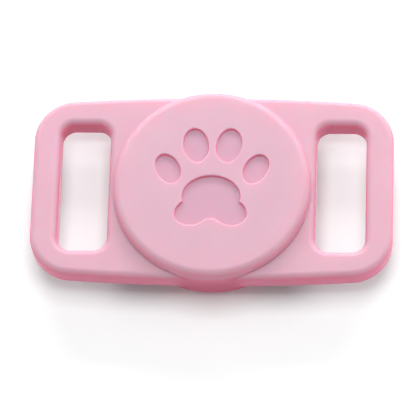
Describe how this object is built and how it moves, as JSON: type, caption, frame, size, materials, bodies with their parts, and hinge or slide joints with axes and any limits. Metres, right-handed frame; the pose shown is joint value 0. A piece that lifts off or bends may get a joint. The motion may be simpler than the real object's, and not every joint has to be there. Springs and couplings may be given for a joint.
{
  "type": "tracker tag holder",
  "caption": "Soft silicone holder that straps to a flat collar through two end slots and keeps a round coin-cell tracker tag in a central drum with a snap lip at the back.",
  "frame": {"origin": "on the drum's axis, in the plane of the drum's back ring that the holder lies on", "axes": "+X along the plate from one strap slot to the other, +Y across the plate towards the top of the sunk motif, +Z out of the drum's front face"},
  "size_m": [0.07, 0.0384, 0.0105],
  "materials": {
    "pink_silicone": "matte",
    "white_gloss": "gloss",
    "white_satin": "satin",
    "black_rubber": "matte",
    "board_green": "satin",
    "nickel_steel": "satin",
    "chip_black": "matte",
    "copper_foil": "satin",
    "dark_magnet": "matte",
    "gasket_grey": "matte",
    "door_steel": "brushed"
  },
  "bodies": {
    "tag": {"tag_front_cover": "white_gloss", "tag_rear_shell": "white_satin", "seam_seal": "black_rubber", "circuit_board": "board_green", "radio_shield": "nickel_steel", "board_chips": "chip_black", "antenna_strip": "copper_foil", "magnet_cup": "nickel_steel", "speaker_magnet": "dark_magnet", "voice_coil": "copper_foil", "negative_contact": "nickel_steel", "positive_contact_left": "nickel_steel", "positive_contact_right": "nickel_steel"},
    "sleeve": {"silicone_sleeve": "pink_silicone", "retaining_lip": "pink_silicone"},
    "coin_cell": {"cell_can": "nickel_steel", "cell_cap": "nickel_steel", "cell_gasket": "gasket_grey"},
    "battery_door": {"battery_door": "door_steel", "door_lock_ring": "white_satin"}
  },
  "joints": [
    {"name": "sleeve_peel_off", "type": "slide", "parent": "tag", "child": "sleeve", "axis": [0, 0, 1], "range_m": [0, 0.024], "deforming": ["retaining_lip"]},
    {"name": "cell_press", "type": "slide", "parent": "tag", "child": "coin_cell", "axis": [0, 0, 1], "range_m": [0, 0.0002], "stiffness_N_per_m": 800, "springref_m": -0.0015, "deforming": ["negative_contact"]},
    {"name": "door_twist", "type": "hinge", "parent": "coin_cell", "child": "battery_door", "pos_m": [0, 0, 0.0015], "axis": [0, 0, -1], "range_deg": [0, 25]}
  ]
}
